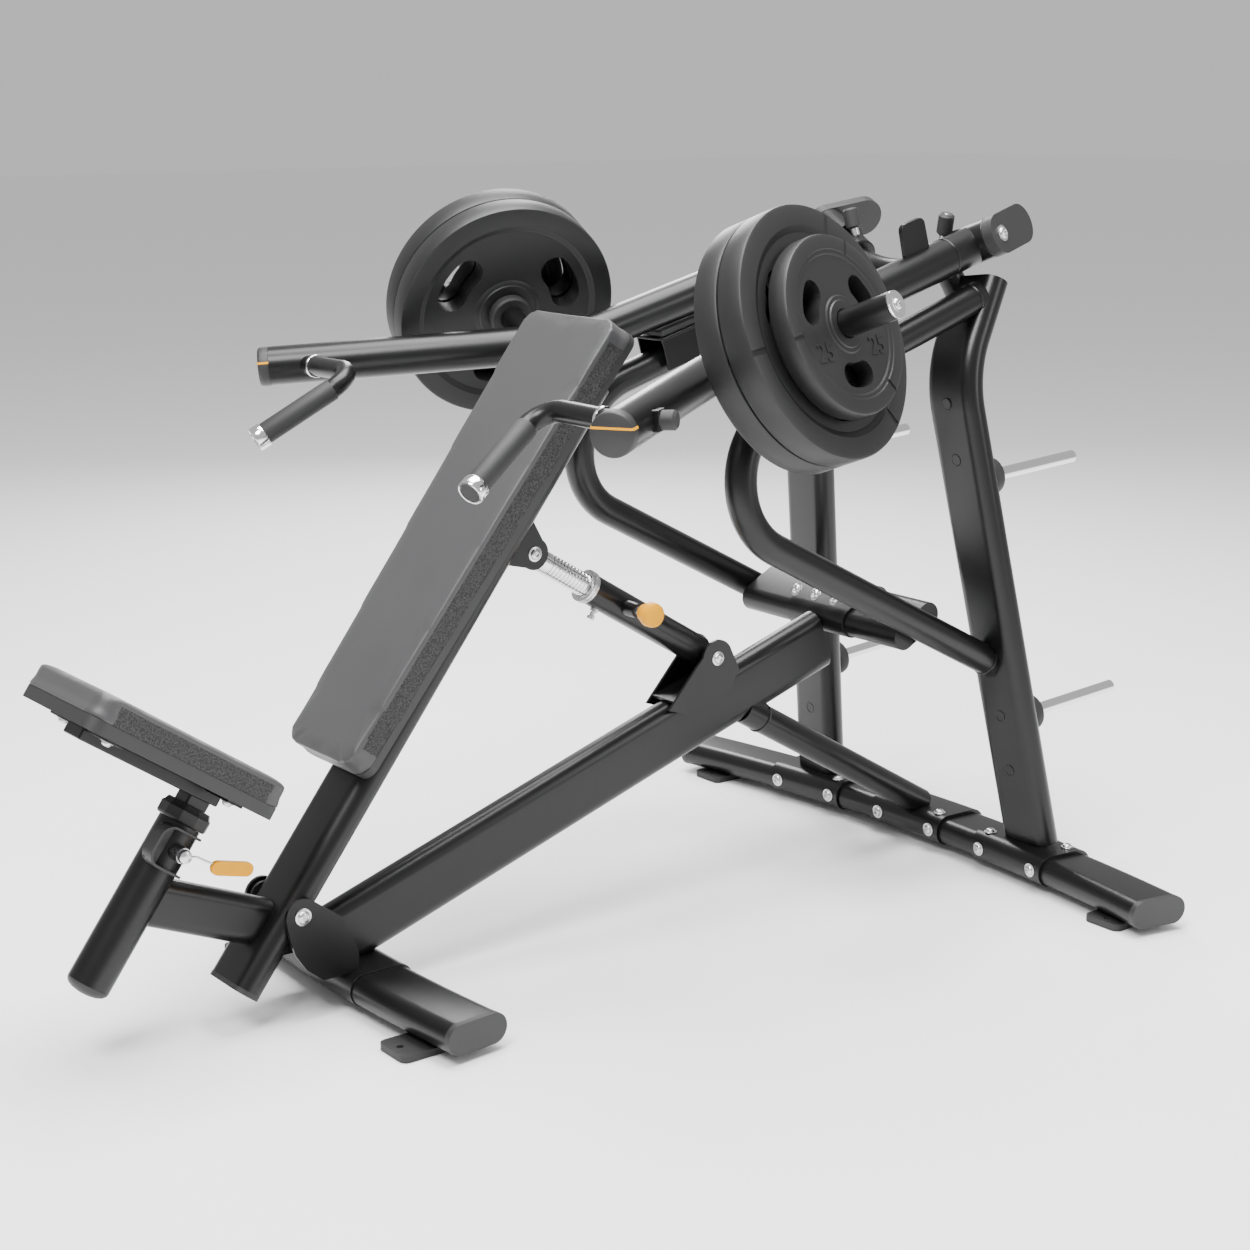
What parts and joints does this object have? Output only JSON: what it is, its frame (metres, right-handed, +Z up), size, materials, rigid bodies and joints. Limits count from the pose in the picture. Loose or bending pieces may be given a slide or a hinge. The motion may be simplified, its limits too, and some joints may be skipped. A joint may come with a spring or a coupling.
{
  "type": "chest press machine",
  "caption": "Plate-loaded incline chest press with converging arms, an adjustable back rest and seat, weight plates and storage horns.",
  "frame": {"origin": "on the floor at the middle of the machine's box", "axes": "+Z up, +Y from the seat to the uprights, +X to the sitter's left"},
  "size_m": [1.429, 2.2209, 1.4023],
  "materials": {
    "frame_black": "fine-textured satin powder coat",
    "black_plastic": "matte moulded",
    "leather": "fine-grain vinyl leather",
    "rubber": "matte",
    "plate_black": "satin black coat",
    "chrome": "polished",
    "bolt_steel": "zinc plated",
    "yellow": "smooth moulded"
  },
  "bodies": {
    "root": {"front_foot": "frame_black", "rear_base": "frame_black", "saddle_left": "frame_black", "saddle_middle": "frame_black", "saddle_right": "frame_black", "main_beam": "frame_black", "rear_brace": "frame_black", "upright_left": "frame_black", "upright_right": "frame_black", "side_tube_left": "frame_black", "side_tube_right": "frame_black", "crossmember": "frame_black", "pivot_block_left": "frame_black", "pivot_block_right": "frame_black", "top_cross_tube": "frame_black", "rest_bracket_left": "frame_black", "rest_bracket_right": "frame_black", "pivot_bracket": "frame_black", "strut_clevis": "frame_black", "front_pad_left": "rubber", "front_pad_right": "rubber", "rear_pad_left": "rubber", "rear_pad_right": "rubber", "rest_rubber_left": "rubber", "rest_rubber_right": "rubber", "storage_horn_upper_left": "chrome", "storage_horn_upper_right": "chrome", "storage_horn_lower_left": "chrome", "storage_horn_lower_right": "chrome", "pivot_pin": "bolt_steel", "strut_pin": "bolt_steel"},
    "bench": {"bench_tube": "frame_black", "seat_support": "frame_black", "seat_post": "frame_black", "strut_lugs": "frame_black", "back_pad": "leather", "back_shell": "black_plastic", "pin_guard": "black_plastic", "post_collar": "black_plastic"},
    "strut_outer": {"strut_outer": "frame_black"},
    "strut_rod": {"strut_rod": "chrome"},
    "strut_knob": {"strut_knob": "yellow"},
    "seat": {"seat_stem": "frame_black", "seat_shell": "black_plastic", "seat_pad": "leather"},
    "seat_pin": {"seat_pin": "bolt_steel"},
    "arm_left": {"arm_left": "frame_black", "arm_cap_left": "black_plastic", "handle_left": "frame_black", "pivot_cover_left": "black_plastic"},
    "plates_left": {"plate_inner_left": "plate_black", "plate_outer_left": "plate_black", "plate_small_left": "plate_black"},
    "arm_right": {"arm_right": "frame_black", "arm_cap_right": "black_plastic", "handle_right": "frame_black", "pivot_cover_right": "black_plastic"},
    "plates_right": {"plate_inner_right": "plate_black", "plate_outer_right": "plate_black", "plate_small_right": "plate_black"}
  },
  "joints": [
    {"name": "bench_tilt", "type": "hinge", "parent": "root", "child": "bench", "pos_m": [0, -0.7102, 0.1985], "axis": [1, 0, 0], "range_deg": [-6, 8]},
    {"name": "strut_swing", "type": "hinge", "parent": "root", "child": "strut_outer", "pos_m": [0, 0.2484, 0.5032], "axis": [1, 0, 0], "range_deg": [-2.4, 1.8]},
    {"name": "strut_slide", "type": "slide", "parent": "strut_outer", "child": "strut_rod", "axis": [0, -0.8543, 0.5198], "range_m": [-0.081, 0.1075]},
    {"name": "strut_knob_pull", "type": "slide", "parent": "strut_outer", "child": "strut_knob", "axis": [1, 0, 0], "range_m": [0, 0.012]},
    {"name": "seat_slide", "type": "slide", "parent": "bench", "child": "seat", "axis": [0, 0.5914, 0.8064], "range_m": [0, 0.1]},
    {"name": "seat_pin_pull", "type": "slide", "parent": "bench", "child": "seat_pin", "axis": [1, 0, 0], "range_m": [0, 0.012]},
    {"name": "left_press", "type": "hinge", "parent": "root", "child": "arm_left", "pos_m": [0.1987, 0.7628, 1.293], "axis": [-0.9074, -0.2207, -0.3576], "range_deg": [0, 25]},
    {"name": "right_press", "type": "hinge", "parent": "root", "child": "arm_right", "pos_m": [-0.1987, 0.7628, 1.293], "axis": [-0.9074, 0.2207, 0.3576], "range_deg": [0, 25]},
    {"name": "left_plates_slide", "type": "slide", "parent": "arm_left", "child": "plates_left", "axis": [0.9074, 0.2207, 0.3576], "range_m": [0, 0.2]},
    {"name": "right_plates_slide", "type": "slide", "parent": "arm_right", "child": "plates_right", "axis": [-0.9074, 0.2207, 0.3576], "range_m": [0, 0.2]}
  ],
  "couplings": [
    {"joint": "strut_swing", "follows": "bench_tilt", "ratio": -0.285},
    {"joint": "strut_slide", "follows": "bench_tilt", "m_per_rad": 0.7593}
  ]
}
